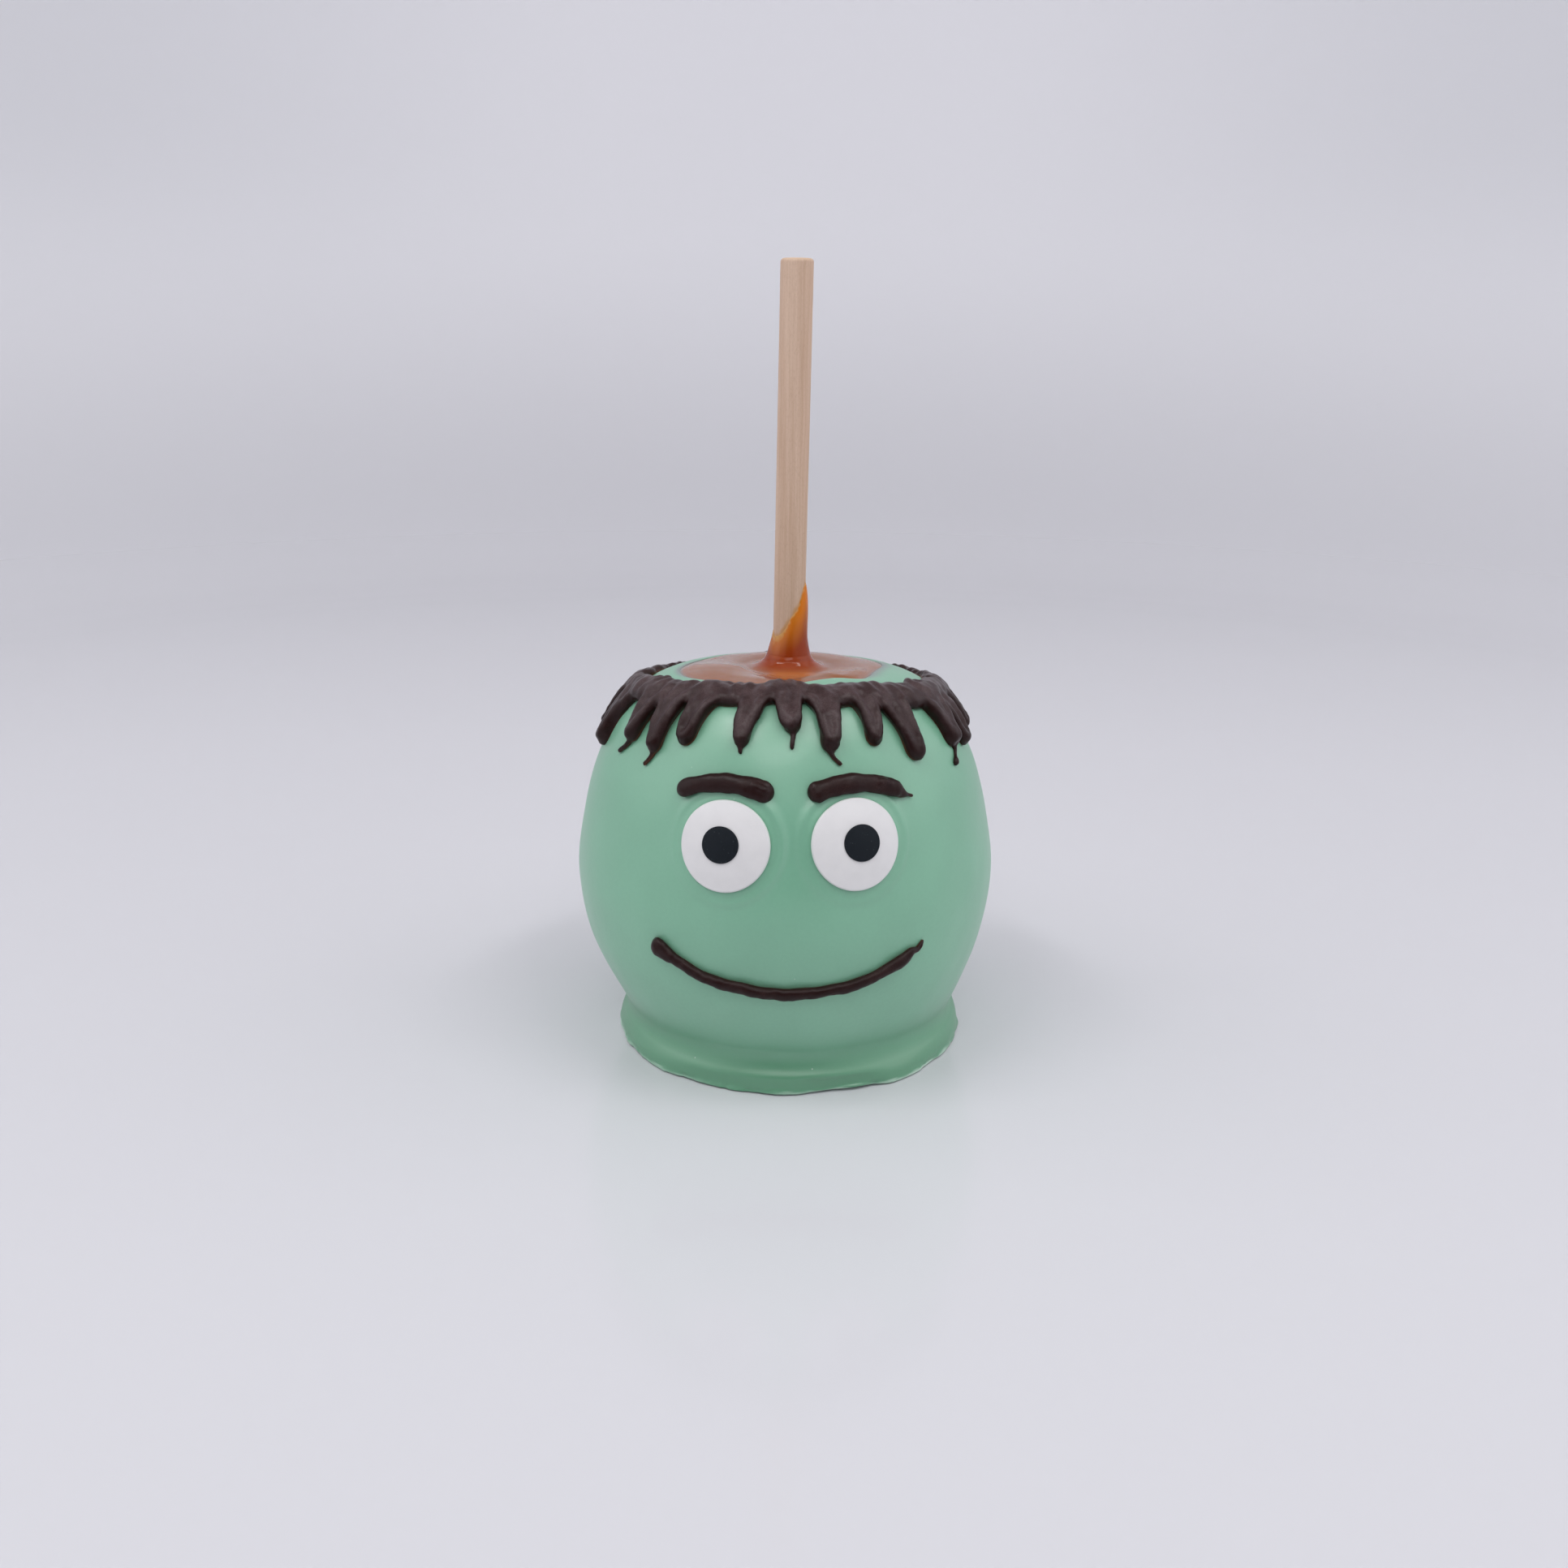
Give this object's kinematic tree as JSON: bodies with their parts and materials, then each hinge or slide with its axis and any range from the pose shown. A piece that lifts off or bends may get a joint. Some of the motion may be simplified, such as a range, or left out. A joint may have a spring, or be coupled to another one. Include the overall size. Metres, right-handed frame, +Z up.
{
  "type": "caramel apple",
  "caption": "Caramel apple on a round wooden stick, dipped in green candy, with a caramel pool, a chocolate drip top and a simple sugar and chocolate face.",
  "frame": {"origin": "middle of the flat foot that the apple stands on", "axes": "+Z up along the stick, -Y towards the decorated front, +X to the viewer's right"},
  "size_m": [0.0864, 0.0871, 0.156],
  "materials": {
    "green_candy": "smooth pale green candy coating, satin gloss",
    "caramel": "clear glossy brown caramel",
    "birch_wood": "bare pale wood, fine straight grain",
    "dark_chocolate": "set dark chocolate, satin",
    "white_sugar": "dull white pressed sugar",
    "black_sugar": "matte black sugar icing"
  },
  "bodies": {
    "root": {"coated_apple": "green_candy", "caramel_pool": "caramel", "stick": "birch_wood", "chocolate_drips": "dark_chocolate", "brow_left": "dark_chocolate", "brow_right": "dark_chocolate", "smile": "dark_chocolate", "eye_left": "white_sugar", "eye_right": "white_sugar", "pupil_left": "black_sugar", "pupil_right": "black_sugar"}
  },
  "joints": []
}
